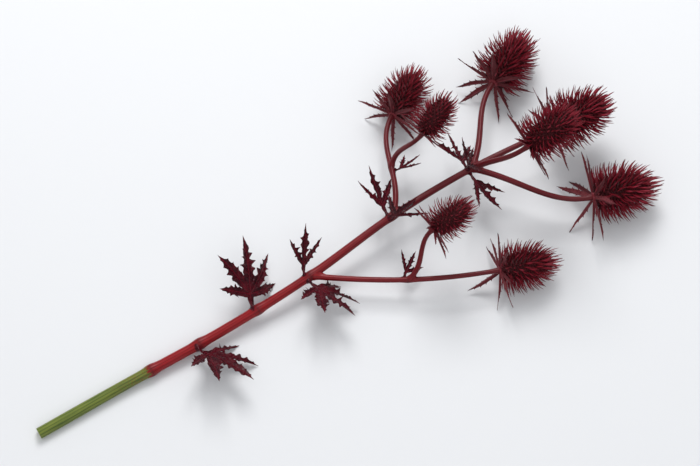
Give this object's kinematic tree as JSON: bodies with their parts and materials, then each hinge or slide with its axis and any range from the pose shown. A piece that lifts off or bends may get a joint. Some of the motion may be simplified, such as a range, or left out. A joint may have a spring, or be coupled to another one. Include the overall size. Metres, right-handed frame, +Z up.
{
  "type": "sea holly stem",
  "caption": "Cut stem of dyed sea holly lying on its side: a ribbed stalk forks to spiny cone heads, each on a ruff of toothed bracts, with lobed leaves at the nodes",
  "frame": {"origin": "on the surface that the stem lies on, below the middle of its bounding box", "axes": "+Y along the stalk from the cut end to the heads, +Z up from the surface, +X to the right seen from above with the heads away"},
  "size_m": [0.2508, 0.586, 0.1304],
  "materials": {
    "stalk": "satin",
    "cone": "matte",
    "bract": "matte",
    "leaf": "satin"
  },
  "bodies": {
    "root": {"stem": "stalk", "ruff_main": "bract", "ruff_crown_left": "bract", "ruff_crown_right": "bract", "ruff_crown_top": "bract", "ruff_left": "bract", "ruff_left_fork": "bract", "ruff_right": "bract", "ruff_right_fork": "bract", "cone_main": "cone", "cone_crown_left": "cone", "cone_crown_right": "cone", "cone_crown_top": "cone", "cone_left": "cone", "cone_left_fork": "cone", "cone_right": "cone", "cone_right_fork": "cone", "lowest_leaf": "leaf", "low_leaf": "leaf", "right_leaf": "leaf", "upper_leaf": "leaf", "left_leaf": "leaf", "top_leaf": "leaf", "crown_leaf_right": "leaf", "crown_leaf_left": "leaf", "crown_leaf_top": "leaf", "left_fork_leaf": "leaf", "right_fork_leaf": "leaf"}
  },
  "joints": []
}
